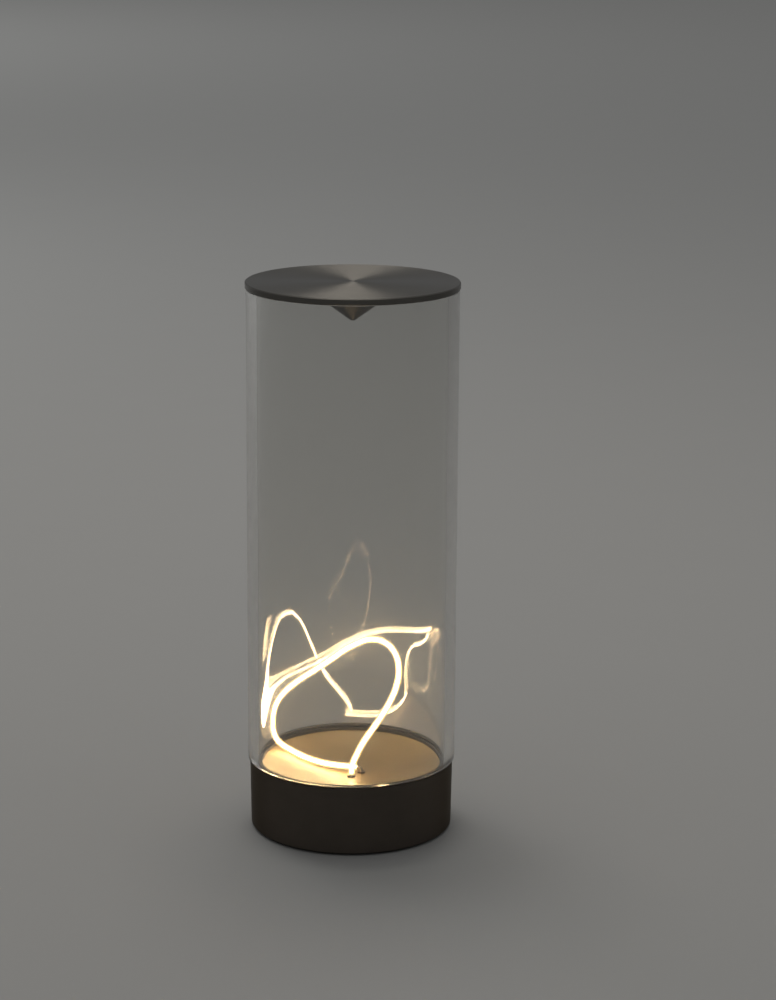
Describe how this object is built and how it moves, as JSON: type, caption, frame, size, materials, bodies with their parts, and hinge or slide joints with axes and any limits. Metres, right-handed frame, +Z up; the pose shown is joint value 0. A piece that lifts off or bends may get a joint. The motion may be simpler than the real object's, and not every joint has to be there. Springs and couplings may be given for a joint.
{
  "type": "table lamp",
  "caption": "Cordless table lamp: a clear tube on a low dark metal base, with a glowing looped filament over a dish and a lift-off metal lid.",
  "frame": {"origin": "on the table, at the tube's axis, in the middle under the base", "axes": "+Z up along the tube's axis, -Y towards the viewer, +X to the viewer's right; the switch is at +Y"},
  "size_m": [0.1008, 0.1008, 0.266],
  "materials": {
    "base_metal": "turned, dark anodised, satin",
    "lid_metal": "turned, dark anodised",
    "dish_metal": "spun, satin",
    "ring_rubber": "moulded, matt",
    "tube_glass": "clear, polished ends",
    "filament_glow": "glowing silicone sleeve",
    "bush_plastic": "moulded",
    "cover_plastic": "moulded, fine grain",
    "foot_rubber": "matt",
    "screw_steel": "plated",
    "switch_steel": "brushed",
    "board_green": "solder mask",
    "cell_wrap": "shrink wrapped",
    "wire_red": "insulated",
    "wire_black": "insulated"
  },
  "bodies": {
    "base": {"base_housing": "base_metal", "bottom_cover": "cover_plastic", "cover_screws": "screw_steel", "foot_ring": "foot_rubber", "reflector_dish": "dish_metal", "locating_ring": "ring_rubber", "clear_tube": "tube_glass", "led_filament": "filament_glow", "filament_leads": "screw_steel", "lead_bushings": "bush_plastic", "filament_wires": "wire_red", "driver_board": "board_green", "board_screws": "screw_steel", "usb_socket": "screw_steel", "usb_tongue": "cover_plastic", "board_inductor": "cover_plastic", "board_chips": "cover_plastic", "battery_cell": "cell_wrap", "battery_contacts": "screw_steel", "battery_wires": "wire_black", "switch_barrel": "switch_steel", "switch_nut": "screw_steel", "switch_spring": "screw_steel", "switch_insert": "cover_plastic", "switch_terminals": "screw_steel", "switch_wires": "wire_red"},
    "lid": {"lid_disc": "lid_metal", "lid_cone": "lid_metal", "lid_stud": "screw_steel"},
    "button": {"switch_button": "switch_steel"}
  },
  "joints": [
    {"name": "lid_lift", "type": "slide", "parent": "base", "child": "lid", "axis": [0, 0, 1], "range_m": [0, 0.06]},
    {"name": "button_press", "type": "slide", "parent": "base", "child": "button", "axis": [0, -1, 0], "range_m": [0, 0.0012], "stiffness_N_per_m": 400, "springref_m": -0.002, "deforming": ["switch_spring"]}
  ]
}
